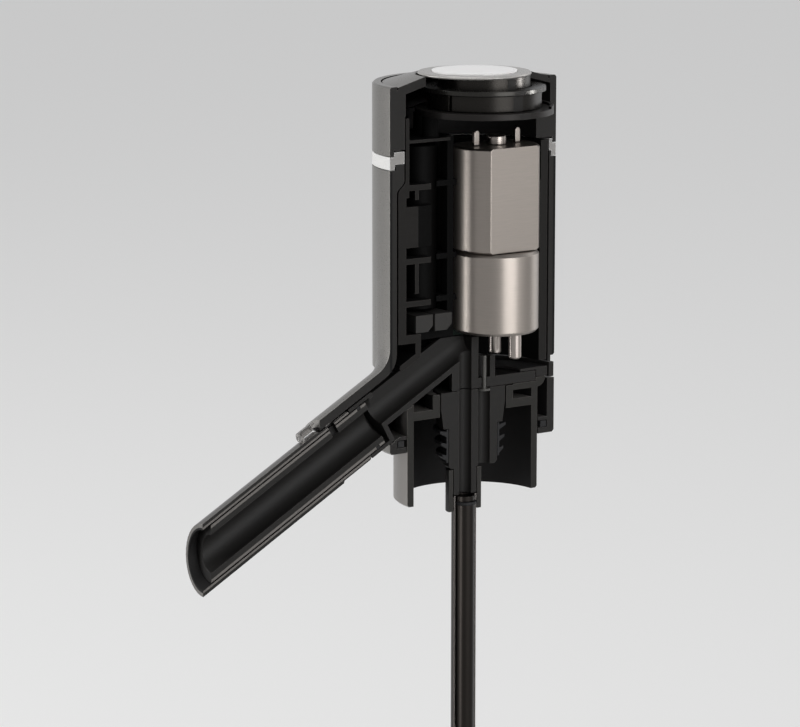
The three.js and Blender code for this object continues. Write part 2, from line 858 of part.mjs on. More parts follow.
function strawSeal() {
  const top = strawTop - strawSealSetback - sealGap;
  const bottom = top - strawSealHeight + 2 * sealGap;
  const inner = innerStrawRadius - strawSealDepth + sealGap;
  return tube(inner, outerStrawInner - sealGap, bottom, top, { x: wineX, sides: smallSides });
}

// Manifold and valve

function spoutManifold() {
  const endWall = wineX + riserRadius;
  const trough = cut(
    join(
      rod(channelOuter, -socketRoot, socketRoot + bite, { x: channelRise, frame: fromSpout }),
      block(
        [channelRise, channelRise + channelSide],
        [-channelOuter, channelOuter],
        [-socketRoot, socketRoot + bite],
        fromSpout,
      ),
    ),
    block([channelRise + channelSide, largest], wholeSide, wholeSide, fromSpout),
    block([endWall, largest], wholeSide, wholeSide),
    block(wholeSide, wholeSide, [riserTop, largest]),
  );
  const channel = cut(
    join(
      rod(channelRadius, -socketRoot, socketRoot + socketEndWall + overrun, {
        x: channelRise,
        frame: fromSpout,
      }),
      block(
        [channelRise, largest],
        [-channelRadius, channelRadius],
        [-socketRoot, socketRoot],
        fromSpout,
      ),
    ),
    block([wineX + wineRadius, largest], wholeSide, wholeSide),
  );
  const socket = cut(
    rod(nozzleRootRadius, socketRoot, nozzleRoot - fitGap, { frame: fromSpout }),
    rod(socketInner, socketRoot + socketEndWall, nozzleRoot, { frame: fromSpout }),
  );
  const riser = rod(riserRadius, plateBottom, riserTop, { x: wineX });
  const plate = cut(
    rod(plateRadius, plateBottom, plateTop, { sides: shellSides }),
    block([-largest, wineX], wholeSide, wholeSide),
  );
  const airSocket = rod(airRadius + airSocketWall, plateBottom, airSocketTop, { x: airOffset });
  return cutaway(
    cut(
      join(trough, socket, riser, plate, airSocket),
      channel,
      rod(wineRadius, 0, riserTop, { x: wineX }),
      rod(airRadius, plateTop, largest, { x: airOffset }),
      rod(valveStemRadius + fitGap, 0, largest, { x: airOffset, sides: smallSides }),
    ),
  );
}

function checkValve() {
  const headTop = plateBottom - fitGap;
  const profile = [
    [0, headTop - valveHeadHeight],
    [valveHeadRadius, headTop - valveHeadHeight],
    [valveHeadRadius, headTop],
    [valveStemRadius, headTop],
    [valveStemRadius, airSocketTop + valveStemRise],
    [0, airSocketTop + valveStemRise],
  ];
  return revolve(profile, { x: airOffset, sides: smallSides });
}

// Inner frame

// The cells stand side by side against the neck's bore
const cellReach = frameNeckBore - cellGap - cellRadius;
const cellTurn = 2 * Math.asin((cellRadius + cellSpacing / 2) / cellReach);
const batteryCells = [0, 1].map((index) => {
  const turn = THREE.MathUtils.degToRad(cellAngle) - index * cellTurn;
  return { x: frameNeckShift + cellReach * Math.cos(turn), y: cellReach * Math.sin(turn) };
});

const pillars = pillarPlaceShares.map(([xShare, yShare]) => ({
  x: switchX + carrierRadius * xShare,
  y: carrierRadius * yShare,
  sides: smallSides,
}));

const boardFront = motorY + motorRadius + boardRoom + boardPartDepth;
const boardBack = boardFront + boardThickness;
const boardLeft = batteryCells[1].x + cellRadius + fitGap;
const boardRight = frameNeckShift + Math.sqrt((frameNeckBore - cellGap) ** 2 - boardBack ** 2);
const boardWidth = boardRight - boardLeft;
const boardBottom = frameFoot + boardRise;

// The space that the motor, pump, cells and board take, with their clearance
function innerRoom() {
  const motor = rod(pumpRadius + fitGap, 0, largest, { x: motorX, y: motorY });
  const cells = batteryCells.map((place) => rod(cellRadius + fitGap, shelfTop, ledgeBottom, place));
  const board = block(
    [boardLeft - fitGap, boardRight + fitGap],
    [boardFront - boardPartDepth - fitGap, boardBack + fitGap],
    wholeSide,
  );
  return join(motor, ...cells, board);
}

const ribBottoms = ribLevelShares.map((share) => frameFoot + (capBottom - frameFoot) * share);

function frameRibs() {
  const motorSide = block([ribReach - frameInner, largest], [-largest, ribFront], wholeSide);
  const ribs = ribBottoms.map((bottom) =>
    cut(rod(frameInner + bite, bottom, bottom + ribHeight, { sides: shellSides }), motorSide),
  );
  const floor = cut(
    rod(frameInner + bite, shelfBottom, shelfTop, { sides: shellSides }),
    block(wholeSide, [-largest, ribFront], wholeSide),
    block([bayEdge + dividerWidth, largest], wholeSide, wholeSide),
  );
  return cut(join(floor, ...ribs), innerRoom());
}

function frameBay() {
  const [lowRib, midRib, highRib] = ribBottoms;
  const wallSide = -frameInner - bite;
  const postSpan = [postPlace - frameInner, postPlace - frameInner + postWidth];
  const divider = block(
    [bayEdge, bayEdge + dividerWidth],
    [dividerFront, dividerFront + dividerDepth],
    [shelfBottom, ledgeTop],
  );
  const panelBottom = midRib + ribHeight + panelRise;
  const panelOutline = [[wallSide, panelDepth], [wallSide, 0]];
  for (let step = 0; step <= panelSteps; step += 1) {
    const angle = (Math.PI / 2) * (step / panelSteps);
    panelOutline.push([
      panelFlat - frameInner + (panelWidth - panelFlat) * Math.sin(angle),
      panelCurve * (1 - Math.cos(angle)),
    ]);
  }
  panelOutline.push([panelWidth - frameInner, panelDepth]);
  const panel = slab(panelOutline, panelBottom, panelBottom + panelHeight);
  const lowPost = block(postSpan, [0, postDepth], [lowRib + ribHeight + lowPostGap, midRib + bite]);
  const highPost = block(postSpan, [0, postDepth], [highRib - highPostDrop, highRib + bite]);
  return cut(join(divider, panel, lowPost, highPost), innerRoom());
}

// The ledge over the cells, with the pillars that carry the switch carrier
function frameLedge() {
  const tongueRadius = capLowerRadius - fitGap;
  const ledge = cut(
    rod(tongueRadius - bite, ledgeBottom, ledgeTop, { x: capLowerX, sides: shellSides }),
    block([bayEdge - ledgeSetback, largest], [-largest, dividerFront], wholeSide),
    block([bayEdge + dividerWidth, largest], wholeSide, wholeSide),
  );
  const posts = pillars.map((place) =>
    rod(pillarRadius, ledgeBottom, carrierBottom - seatGap, place),
  );
  const pins = pillars.map((place) => rod(pillarPinRadius, ledgeBottom, carrierTop, place));
  return join(ledge, ...posts, ...pins);
}

// The hook that guides the wine down into the spout's channel
function frameHook() {
  const lower = channelRise + channelRadius + fitGap;
  const upper = lower + hookWall;
  const left = shelfEdge - hookWall;
  const start = -(shelfEdge + lower * spoutSin) / spoutCos;
  const end = start + hookLength;
  const outline = [
    [shelfEdge, shelfBottom + bite],
    [shelfEdge, spoutLine(shelfEdge, lower)],
    spoutPoint(end, lower),
    spoutPoint(end + hookWall / 3, lower + hookWall / 4),
    spoutPoint(end + hookWall / 3, upper - hookWall / 4),
    spoutPoint(end, upper),
    [left, spoutLine(left, upper)],
    [left, shelfBottom + bite],
  ];
  return prism(outline, 0, channelOuter);
}

function innerFrame() {
  const wall = tube(frameInner, frameRadius, frameFoot, neckBottom, { sides: shellSides });
  const neck = neckForm(frameRadius, frameNeckRadius, frameStep, frameNeckTop);
  const tongue = cut(
    rod(capLowerRadius - fitGap, frameStep, tongueTop, { x: capLowerX, sides: shellSides }),
    block([tongueEdge, largest], wholeSide, wholeSide),
  );
  const neckBore = rod(frameNeckBore, frameStep - overrun, largest, {
    x: frameNeckShift,
    sides: shellSides,
  });
  const window = block([-largest, windowEdge], [-largest, windowHalfWidth], [0, shelfBottom]);
  const upper = cut(join(neck, tongue), neckBore);
  const shelf = cut(
    rod(frameRadius, shelfBottom, shelfTop, { sides: shellSides }),
    block([shelfEdge, largest], wholeSide, wholeSide),
    block(wholeSide, [windowHalfWidth, largest], wholeSide),
  );
  const shell = cut(join(wall, upper), window, powerSocketRoom());
  return cutaway(join(shell, shelf, frameRibs(), frameBay(), frameLedge(), frameHook()));
}

// Battery, board and power socket

function batteryCell(place) {
  const shoulder = cellTop - cellTipHeight;
  return revolve(
    [
      [0, cellBottom],
      [cellRadius - cellBevel, cellBottom],
      [cellRadius, cellBottom + cellBevel],
      [cellRadius, shoulder - cellBevel],
      [cellRadius - cellBevel, shoulder],
      [cellTipRadius, shoulder],
      [cellTipRadius, cellTop],
      [0, cellTop],
    ],
    { ...place, sides: pieceSides },
  );
}

function contactBlock(index) {
  const right = contactSide - index * (contactWidth + contactSpacing);
  const left = right - contactWidth;
  const top = contactBottom + contactHeight;
  const outline = [
    [left, contactBottom],
    [right - contactChamfer, contactBottom],
    [right, contactBottom + contactChamfer],
    [right, top],
    [left, top],
  ];
  return prism(outline, contactFront, contactFront + contactDepth);
}

function controlBoard() {
  const board = block(
    [boardLeft, boardRight],
    [boardFront, boardBack],
    [boardBottom, boardBottom + boardHeight],
  );
  const parts = boardPartShares.map(([left, right, bottom, top]) =>
    block(
      [boardLeft + boardWidth * left, boardLeft + boardWidth * right],
      [boardFront - boardPartDepth, boardFront + bite],
      [boardBottom + boardHeight * bottom, boardBottom + boardHeight * top],
    ),
  );
  return join(board, ...parts);
}

const socketMiddle = boardLeft + boardWidth / 2;
const socketBottom = frameFoot + socketRise;
const socketSpan = [socketMiddle - socketWidth / 2, socketMiddle + socketWidth / 2];
const socketMouth = Math.sqrt(bodyRadius ** 2 - socketSpan[1] ** 2) - socketSetback;

// The hole for the socket through the frame and the casing
function powerSocketRoom() {
  return block(
    [socketSpan[0] - fitGap, socketSpan[1] + fitGap],
    [boardBack, largest],
    [socketBottom - fitGap, socketBottom + socketHeight + fitGap],
  );
}

function powerSocket() {
  const [left, right] = socketSpan;
  const shell = block(
    [left, right],
    [boardBack + seatGap, socketMouth],
    [socketBottom, socketBottom + socketHeight],
  );
  const cavityFoot = boardBack + seatGap + socketBackWall;
  const cavity = block(
    [left + socketWall, right - socketWall],
    [cavityFoot, largest],
    [socketBottom + socketWall, socketBottom + socketHeight - socketWall],
  );
  const middle = socketBottom + socketHeight / 2;
  const tongue = block(
    [socketMiddle - socketTongueWidth / 2, socketMiddle + socketTongueWidth / 2],
    [cavityFoot - bite, socketMouth - socketSetback],
    [middle - socketTongueHeight / 2, middle + socketTongueHeight / 2],
  );
  return join(cut(shell, cavity), tongue);
}

// Motor and pump

const motorPlace = { x: motorX, y: motorY, sides: pieceSides };

function motorCan() {
  const round = bevelledRod(motorRadius, motorBottom, motorTop, motorBevel, motorPlace);
  return cut(
    round,
    block(wholeSide, [-largest, motorY - motorFlat], wholeSide),
    block(wholeSide, [motorY + motorFlat, largest], wholeSide),
  );
}

function motorBearing() {
  const bottom = motorTop + seatGap;
  const top = bottom + bearingHeight;
  return revolve(
    [
      [0, bottom],
      [bearingRadius, bottom],
      [bearingRadius, top - bearingBevel],
      [bearingRadius - bearingBevel, top],
      [0, top],
    ],
    { ...motorPlace, sides: smallSides },
  );
}

// A solder tab with a round end
function motorTerminal(side) {
  const middle = motorX + side * motorRadius * terminalPlaceShare;
  const bottom = motorTop + seatGap;
  const half = terminalWidth / 2;
  const outline = [[middle - half, bottom], [middle + half, bottom]];
  for (let step = 0; step <= terminalSteps; step += 1) {
    const angle = (Math.PI * step) / terminalSteps;
    outline.push([
      middle + half * Math.cos(angle),
      bottom + terminalHeight - half + half * Math.sin(angle),
    ]);
  }
  return prism(outline, motorY - terminalThickness / 2, motorY + terminalThickness / 2);
}

const pumpBody = () => bevelledRod(pumpRadius, pumpBottom, pumpTop, pumpBevel, motorPlace);

function pumpPort(side) {
  const top = pumpBottom - seatGap;
  const place = { x: motorX + portShift, y: side * portSpread, sides: smallSides };
  const bottom = top - portLength;
  const profile = [
    [portBoreRadius, bottom],
    [portRadius - portBevel, bottom],
    [portRadius, bottom + portBevel],
    [portRadius, top],
    [portBoreRadius, top],
  ];
  return revolve(profile, place);
}

// Button and switch

const switchPlace = { x: switchX, sides: pieceSides };

function switchCarrier() {
  const disc = rod(carrierRadius, carrierBottom, carrierTop, switchPlace);
  const lip = cut(
    tube(
      carrierRadius - carrierLipWidth,
      carrierRadius,
      carrierTop - bite,
      carrierTop + carrierLipHeight,
      switchPlace,
    ),
    block([-largest, switchX + carrierRadius * carrierLipShare], wholeSide, wholeSide),
  );
  const holes = pillars.map((place) => rod(pillarPinRadius + fitGap, 0, largest, place));
  return cut(join(disc, lip), ...holes);
}

function buttonHousing() {
  const wall = tube(housingInner, housingRadius, housingBottom, housingTop, switchPlace);
  const turn = THREE.MathUtils.degToRad(housingSlotAngle);
  const frame = new THREE.Matrix4().makeRotationZ(turn).setPosition(switchX, 0, 0);
  const half = housingSlotWidth / 2;
  return cut(wall, block([housingInner - overrun, largest], [-half, half], wholeSide, frame));
}

const retainingRing = () =>
  tube(retainerInner, retainerRadius, retainerBottom, retainerTop, switchPlace);

function tactSwitch() {
  const half = tactWidth / 2;
  const bodyTop = tactBottom + tactHeight;
  return join(
    block([switchX - half, switchX + half], [-half, half], [tactBottom, bodyTop]),
    rod(tactKnobRadius, bodyTop - bite, knobTop, { x: switchX, sides: smallSides }),
  );
}

function returnSpring() {
  const top = sleeveTop - sleeveWebLift() - buttonTravel - fitGap;
  return tube(springRadius - springWall, springRadius, tactBottom, top, {
    x: switchX,
    sides: pieceSides,
  });
}

// The sleeve's web lies halfway between its lip and its top
const sleeveWebLift = () => (sleeveTop - sleeveBottom) / 2;

function buttonSleeve() {
  const inner = sleeveRadius - sleeveWall;
  const web = sleeveTop - sleeveWebLift();
  const hole = plungerRadius + fitGap;
  return revolve(
    [
      [inner, sleeveBottom],
      [sleeveRadius + sleeveLip, sleeveBottom],
      [sleeveRadius + sleeveLip, sleeveLipTop],
      [sleeveRadius, sleeveLipTop],
      [sleeveRadius, sleeveTop],
      [inner, sleeveTop],
      [inner, web + sleeveWebHeight],
      [hole, web + sleeveWebHeight],
      [hole, web],
      [inner, web],
    ],
    switchPlace,
  );
}

function buttonCap() {
  const recess = inlayRadius + seatGap;
  const disc = revolve(
    [
      [0, buttonBottom],
      [buttonRadius - buttonBevel, buttonBottom],
      [buttonRadius, buttonBottom + buttonBevel],
      [buttonRadius - buttonBevel, buttonTop],
      [recess, buttonTop],
      [recess, buttonTop - buttonRecess],
      [0, buttonTop - buttonRecess],
    ],
    { sides: shellSides },
  );
  const plunger = rod(plungerRadius, plungerTip, buttonBottom + bite, {
    x: switchX,
    sides: smallSides,
  });
  return join(disc, plunger);
}

function buttonInlay() {
  const bottom = buttonTop - buttonRecess + seatGap;
  const shoulder = bottom + inlayHeight;
  const top = shoulder + inlayCrown;
  const disc = revolve(
    [
      [0, bottom],
      [inlayRadius, bottom],
      [inlayRadius, shoulder],
      [inlayRadius * Math.cos(Math.PI / 6), shoulder + inlayCrown / 2],
      [inlayRadius / 2, top - inlayCrown / 8],
      [0, top],
    ],
    { sides: shellSides },
  );
  const turn = THREE.MathUtils.degToRad(inlayMarkAngle);
  const reach = inlayRadius - inlayMarkInset;
  const marks = [reach, -reach].map((radius) =>
    rod(inlayMarkRadius, shoulder - bite, largest, {
      x: radius * Math.cos(turn),
      y: radius * Math.sin(turn),
      sides: smallSides,
    }),
  );
  return cut(disc, ...marks);
}

// Nozzle, in the spout's frame

const mouthCut = (setback) =>
  block([-largest, setback - nozzleReach], wholeSide, wholeSide, toSpout);

const ventRoom = () =>
  block(
    [nozzleRadius / 2, largest],
    [-ventHalfWidth, ventHalfWidth],
    [ventPlace, ventPlace + ventLength],
  );

function nozzleShell() {
  const inner = nozzleRadius - nozzleWall;
  const shoulder = shroudTip + fitGap;
  const profile = [
    [inner, nozzleRoot],
    [nozzleRootRadius - nozzleBevel, nozzleRoot],
    [nozzleRootRadius, nozzleRoot + nozzleBevel],
    [nozzleRootRadius, shoulder],
    [nozzleRadius - nozzleBevel, shoulder],
    [nozzleRadius, shoulder + nozzleBevel],
    [nozzleRadius, 2 * nozzleReach],
    [inner, 2 * nozzleReach],
  ];
  return cutaway(cut(revolve(profile, { sides: pieceSides }), mouthCut(0), ventRoom()));
}

function nozzleLiner() {
  const root = nozzleRoot - linerInsertion;
  const groove = root + linerSealSetback;
  const profile = [
    [spoutBore, root],
    [linerRadius, root],
    [linerRadius, groove],
    [linerRadius - linerSealDepth, groove],
    [linerRadius - linerSealDepth, groove + linerSealWidth],
    [linerRadius, groove + linerSealWidth],
    [linerRadius, 2 * nozzleReach],
    [spoutBore, 2 * nozzleReach],
  ];
  return cutaway(cut(revolve(profile), mouthCut(linerSetback), ventRoom()));
}

function nozzleSeal() {
  const groove = nozzleRoot - linerInsertion + linerSealSetback;
  const inner = linerRadius - linerSealDepth + sealGap;
  const outer = socketInner - sealGap;
  return cutaway(tube(inner, outer, groove + sealGap, groove + linerSealWidth - sealGap));
}

function airInletHood() {
  const root = shroudTip + hoodGap;
  const place = { x: nozzleRadius, sides: pieceSides };
  return cutaway(
    cut(
      rod(hoodRadius, root, root + hoodLength, place),
      rod(hoodRadius - hoodWall, 0, root + hoodLength - hoodWall, place),
      rod(nozzleRadius + fitGap, 0, largest),
    ),
  );
}

// Materials

const finish = (color, roughness, metalness) =>
  new THREE.MeshStandardMaterial({ color, roughness, metalness });

const satinGrey = () => finish(0x8c8a87, 0.35, 0.6);
const darkMoulding = () => finish(0x4c4a47, 0.6, 0);
const paleTrim = () => finish(0xe4e3e0, 0.3, 0.1);
const paleMoulding = () => finish(0x9c9a96, 0.45, 0);
const motorSteel = () => finish(0xb5aca6, 0.3, 1);
const darkSteel = () => finish(0x77706a, 0.35, 1);
const blackRubber = () => finish(0x1b1b1c, 0.8, 0);
const smokedClear = () => finish(0x6d7a88, 0.15, 0);
const copperContact = () => finish(0xc08a4a, 0.35, 1);
const boardGreen = () => finish(0x22513a, 0.6, 0);
const cellWrap = () => finish(0x22262c, 0.5, 0);

const dispenser = new THREE.Group();

function addPiece(name, solid, material, parent = dispenser) {
  const mesh = new THREE.Mesh(geometryFrom(solid), material);
  mesh.name = name;
  parent.add(mesh);
}

addPiece("upper_cap", upperCap(), satinGrey());
addPiece("trim_ring", trimRing(), paleTrim());
addPiece("main_casing", mainCasing(), satinGrey());
addPiece("seam_ring", seamRing(), paleMoulding());
addPiece("base_ring", baseRing(), satinGrey());
addPiece("collar_seal", collarSeal(), blackRubber());
addPiece("neck_collar", neckCollar(), satinGrey());
addPiece("clamp_ring", clampRing(), darkMoulding());
addPiece("bottle_stopper", bottleStopper(), darkMoulding());
addPiece("stopper_seal", stopperSeal(), blackRubber());
addPiece("straw_connector", strawConnector(), paleMoulding());
addPiece("outer_straw", outerStraw(), darkMoulding());
addPiece("inner_straw", innerStraw(), darkSteel());
addPiece("straw_seal", strawSeal(), blackRubber());
addPiece("spout_manifold", spoutManifold(), darkMoulding());
addPiece("check_valve", checkValve(), paleMoulding());
addPiece("inner_frame", innerFrame(), darkMoulding());
batteryCells.forEach((place, index) => {
  addPiece(`battery_cell_${index + 1}`, batteryCell(place), cellWrap());
  addPiece(`battery_contact_${index + 1}`, contactBlock(index), copperContact());
});
addPiece("control_board", controlBoard(), boardGreen());
addPiece("power_socket", powerSocket(), darkSteel());
addPiece("motor_can", motorCan(), motorSteel());
addPiece("motor_bearing", motorBearing(), motorSteel());
addPiece("motor_terminal_1", motorTerminal(-1), copperContact());
addPiece("motor_terminal_2", motorTerminal(1), copperContact());
addPiece("pump_body", pumpBody(), motorSteel());
addPiece("pump_outlet_port", pumpPort(-1), motorSteel());
addPiece("pump_inlet_port", pumpPort(1), motorSteel());
addPiece("switch_carrier", switchCarrier(), darkMoulding());
addPiece("button_housing", buttonHousing(), darkMoulding());
addPiece("retaining_ring", retainingRing(), paleMoulding());
addPiece("tact_switch", tactSwitch(), blackRubber());
addPiece("return_spring", returnSpring(), motorSteel());
addPiece("button_cap", buttonCap(), paleMoulding());
addPiece("button_inlay", buttonInlay(), paleTrim());
addPiece("button_sleeve", buttonSleeve(), satinGrey());
addPiece("nozzle_shell", nozzleShell(), satinGrey(), spout);
addPiece("nozzle_liner", nozzleLiner(), paleMoulding(), spout);
addPiece("nozzle_seal", nozzleSeal(), blackRubber(), spout);
addPiece("air_inlet_hood", airInletHood(), smokedClear(), spout);
dispenser.add(spout);

export default dispenser;
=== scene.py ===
"""Materials, light and camera for the electric drink dispenser, in metres."""

import json
import math

import bpy
from mathutils import Matrix, Vector


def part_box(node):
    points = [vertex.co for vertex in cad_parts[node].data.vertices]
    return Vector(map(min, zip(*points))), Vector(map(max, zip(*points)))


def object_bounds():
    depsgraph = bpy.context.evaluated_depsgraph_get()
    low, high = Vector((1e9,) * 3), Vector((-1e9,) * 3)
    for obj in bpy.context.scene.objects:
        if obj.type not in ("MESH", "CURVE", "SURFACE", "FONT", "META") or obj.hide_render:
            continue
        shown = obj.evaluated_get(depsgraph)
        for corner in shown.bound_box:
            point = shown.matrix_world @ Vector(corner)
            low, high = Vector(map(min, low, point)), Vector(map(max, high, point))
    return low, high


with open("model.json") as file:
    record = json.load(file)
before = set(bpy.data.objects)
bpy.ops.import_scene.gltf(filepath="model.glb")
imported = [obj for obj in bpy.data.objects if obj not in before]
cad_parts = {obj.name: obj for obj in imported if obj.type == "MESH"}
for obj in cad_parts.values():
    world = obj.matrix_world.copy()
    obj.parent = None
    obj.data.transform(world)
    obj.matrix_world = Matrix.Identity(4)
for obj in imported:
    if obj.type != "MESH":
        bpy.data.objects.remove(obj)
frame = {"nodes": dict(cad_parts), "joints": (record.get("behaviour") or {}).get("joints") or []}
cad_low, cad_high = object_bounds()
nodes = frame["nodes"]
joints = {joint["name"]: joint for joint in frame["joints"]}

MM = 0.001
UP = Vector((0, 0, 1))

# Sizes taken from the frame
cap_low, cap_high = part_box("upper_cap")
BODY_RADIUS = (cap_high.x - cap_low.x) / 2
SPOUT_AXIS = Vector(joints["nozzle_pull"]["axis"])
NOZZLE_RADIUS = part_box("nozzle_shell")[1].y
LINER_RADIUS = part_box("nozzle_liner")[1].y
STRAW_TRAVEL = joints["straw_extend"]["range_m"][1]

# Where the spout's axis crosses the body's axis
SPOUT_HEIGHT = 18.9 * MM

# The camera: its lens and sensor in millimetres, and the nearest and furthest that it sees
LENS = 163.8
SENSOR_WIDTH = 36
NEAREST = 0.05
FURTHEST = 20
CAMERA_POSITION = (-0.5585265, -0.7745392, 0.1978234)
CAMERA_DIRECTION = (0.5578249, 0.80800965, -0.18960957)

# How strongly the sky lights the object, and how pale it looks
WORLD_COLOR = (0.98, 0.985, 1, 1)
WORLD_LIGHT = 0.31
WORLD_SEEN = 0.6

# The floor lies under the straw at its full length, and looks paler than its colour
FLOOR_GAP = 10 * MM
FLOOR_LEVEL = cad_low.z - STRAW_TRAVEL - FLOOR_GAP
FLOOR_HALF_WIDTH = 8
FLOOR_COLOR = (0.46, 0.46, 0.455, 1)
FLOOR_ROUGHNESS = 0.9
FLOOR_CLEARNESS = 0.1
FLOOR_GLOW = 0.42
WHITE = (1, 1, 1, 1)

# The height that a tilted lamp is aimed at
LAMP_AIM = 0.03

# Pieces that a lamp of their own reaches past what stands in front of them
METAL_PIECES = (
    "motor_can", "motor_bearing", "motor_terminal_1", "motor_terminal_2", "pump_body",
    "pump_outlet_port", "pump_inlet_port", "inner_straw",
)
BUTTON_PIECES = ("button_sleeve", "retaining_ring")
STRAW_PIECES = ("inner_straw",)

# Colours that several materials share
CUT_FACE = "232221"
# Painted shade for the faces inside the body, cap, rings, collar and nozzle
PAINTED_INSIDE_SHADE = "131212"
SEAM = "040404"
# Painted highlight for the pale lines along the nozzle's cut walls
PAINTED_LINE_HIGHLIGHT = "676461"
TRIM_CUT = "8e8c8a"

# Roughness of the faces that are cut or inside
CUT_ROUGHNESS = 0.66

# Where the painted shade of the insides starts: depths under the outside of the body, the cap's
# top and the nozzle, the shroud's room round the nozzle, the collar's radius, and a level over
# its top
BODY_SKIN = 1.2 * MM
CAP_SKIN = 2.05 * MM
NOZZLE_SKIN = 0.9 * MM
SHROUD_CLEARANCE = 0.7 * MM
COLLAR_BORE = 20.6 * MM
COLLAR_REACH = 40 * MM

# Lines painted on the cut faces, a dark seam and painted highlights: the seam's width, the width
# of the shell's painted highlight, and the depths in the liner where its painted highlight ends
# and starts
SLEEVE_SEAM = 0.75 * MM
SHELL_HIGHLIGHT_WIDTH = 0.85 * MM
LINER_HIGHLIGHT_END = 0.8 * MM
LINER_HIGHLIGHT_START = 0.15 * MM

# How closely a face of the cut looks along -Y, and how near it lies to the plane
CUT_LOOK = -0.995
CUT_DEPTH = 0.05 * MM

# A face that looks up more than this is never inside
LOOKS_UP = 0.5

# Cosines of the rounded normal's turn where an edge starts and where it is whole, and how
# many samples round it
EDGE_START = 0.995
EDGE_WHOLE = 0.86
EDGE_SAMPLES = 6

# Widths of the rounded edges
MOULDED_EDGE = 0.28 * MM
METAL_EDGE = 0.3 * MM
SOFT_EDGE = 0.2 * MM

# Scales of the noises, in cycles a metre
MOULDED_GRAIN = 2600
MOULDED_PATCHES = 45
SAW_MARKS = 900
METAL_STREAKS = 7000
METAL_GRAIN = 3600
METAL_PATCHES = 70
RUBBER_GRAIN = 1800
GLOSS_PATCHES = 120
SMOKE_PATCHES = 400

# Stretches that turn a noise into saw marks along X and streaks round Z
ALONG_X = (0.25, 1, 1)
ROUND_Z = (0.03, 0.03, 1)

# The span that most of a noise's values lie in
NOISE_LOW = 0.3
NOISE_HIGH = 0.7

# Factors from a colour to the shade of its patches, streaks and specks, and to the painted
# highlights on its edges and along the edges of the cut
PATCH_SHADE = 0.93
EDGE_HIGHLIGHT_SHADE = 1.25
CUT_SHADE = 0.9
CUT_LINE_HIGHLIGHT_SHADE = 2.1
STREAK_SHADE = 0.96
RUBBER_SPECK_SHADE = 1.25
RUBBER_EDGE_HIGHLIGHT_SHADE = 1.7
GLOSS_PATCH_SHADE = 0.97
GLOSS_EDGE_HIGHLIGHT_SHADE = 1.1
SMOKE_SHADE = 0.9

# How far the roughness wanders either way, and for metal by what share of it
MOULDED_SPREAD = 0.04
RUBBER_SPREAD = 0.08
METAL_SPREAD = 0.12

# Depths of the bumps, and the share of the fine grain among a metal's streaks
MOULDED_DEPTH = 0.01 * MM
METAL_DEPTH = 0.012 * MM
RUBBER_DEPTH = 0.02 * MM
METAL_GRAIN_SHARE = 0.6

# Smooth shading: points this near are joined, and faces that meet at more than the angle
# keep their corner
WELD_DISTANCE = 1e-6
SMOOTH_ANGLE = math.radians(28)


# Camera, floor and light


def place(obj, position, direction):
    """Puts obj at position, looking along direction."""
    forward = Vector(direction).normalized()
    right = forward.cross(UP).normalized()
    up = right.cross(forward)
    turn = Matrix((right, up, -forward)).transposed().to_4x4()
    obj.matrix_world = Matrix.Translation(Vector(position)) @ turn


def make_camera():
    """The photograph's view."""
    data = bpy.data.cameras.new("camera")
    data.lens = LENS
    data.sensor_width = SENSOR_WIDTH
    data.clip_start = NEAREST
    data.clip_end = FURTHEST
    obj = bpy.data.objects.new("camera", data)
    bpy.context.scene.collection.objects.link(obj)
    place(obj, CAMERA_POSITION, CAMERA_DIRECTION)
    bpy.context.scene.camera = obj


def softbox(name, azimuth, distance, height, size, power, upright=False, only=(), past=False):
    """A rectangular lamp round the object, its azimuth in degrees from +X, aimed at the body or
    standing upright. It lights only the nodes named, if any, and past what stands before them
    where that is asked for."""
    turn = math.radians(azimuth)
    position = Vector((distance * math.cos(turn), distance * math.sin(turn), height))
    data = bpy.data.lights.new(name, "AREA")
    data.shape = "RECTANGLE"
    data.size, data.size_y = size
    data.energy = power
    obj = bpy.data.objects.new(name, data)
    bpy.context.scene.collection.objects.link(obj)
    aim = Vector((0, 0, height if upright else LAMP_AIM))
    place(obj, position, aim - position)
    obj.visible_camera = False
    if only:
        lit = bpy.data.collections.new(name)
        for node in only:
            lit.objects.link(nodes[node])
        obj.light_linking.receiver_collection = lit
        if past:
            obj.light_linking.blocker_collection = lit


def make_lamps():
    """Broad soft lamps, and three small ones for single groups of pieces."""
    softbox("left_back", azimuth=146, distance=1.6, height=0.45, size=(0.75, 1.4), power=21)
    softbox(
        "front", azimuth=274, distance=0.62, height=0.2, size=(0.4, 0.66), power=3.3,
        upright=True, only=nodes,
    )
    softbox("right", azimuth=306, distance=1.7, height=0.45, size=(0.8, 1.3), power=3)
    softbox(
        "right_back", azimuth=0, distance=0.6, height=0.2, size=(0.3, 0.66), power=0.7,
        upright=True, only=nodes,
    )
    softbox("top", azimuth=120, distance=0.25, height=1.6, size=(1.2, 1.2), power=10)
    softbox(
        "left_metal", azimuth=149, distance=0.8, height=-0.12, size=(0.09, 0.06), power=0.75,
        upright=True, only=METAL_PIECES, past=True,
    )
    softbox(
        "left_straw", azimuth=184, distance=0.7, height=-0.2, size=(0.12, 0.09), power=1.5,
        upright=True, only=STRAW_PIECES, past=True,
    )
    softbox(
        "right_metal", azimuth=335, distance=0.8, height=0, size=(0.12, 0.2), power=3.5,
        upright=True, only=BUTTON_PIECES, past=True,
    )


def seen_directly(tree):
    """1 for the rays that show a surface: from the camera, in a reflection or through glass."""
    path = tree.nodes.new("ShaderNodeLightPath")
    seen = path.outputs["Is Camera Ray"]
    for ray in ("Is Glossy Ray", "Is Transmission Ray"):
        either = tree.nodes.new("ShaderNodeMath")
        either.operation = "MAXIMUM"
        tree.links.new(seen, either.inputs[0])
        tree.links.new(path.outputs[ray], either.inputs[1])
        seen = either.outputs[0]
    return seen


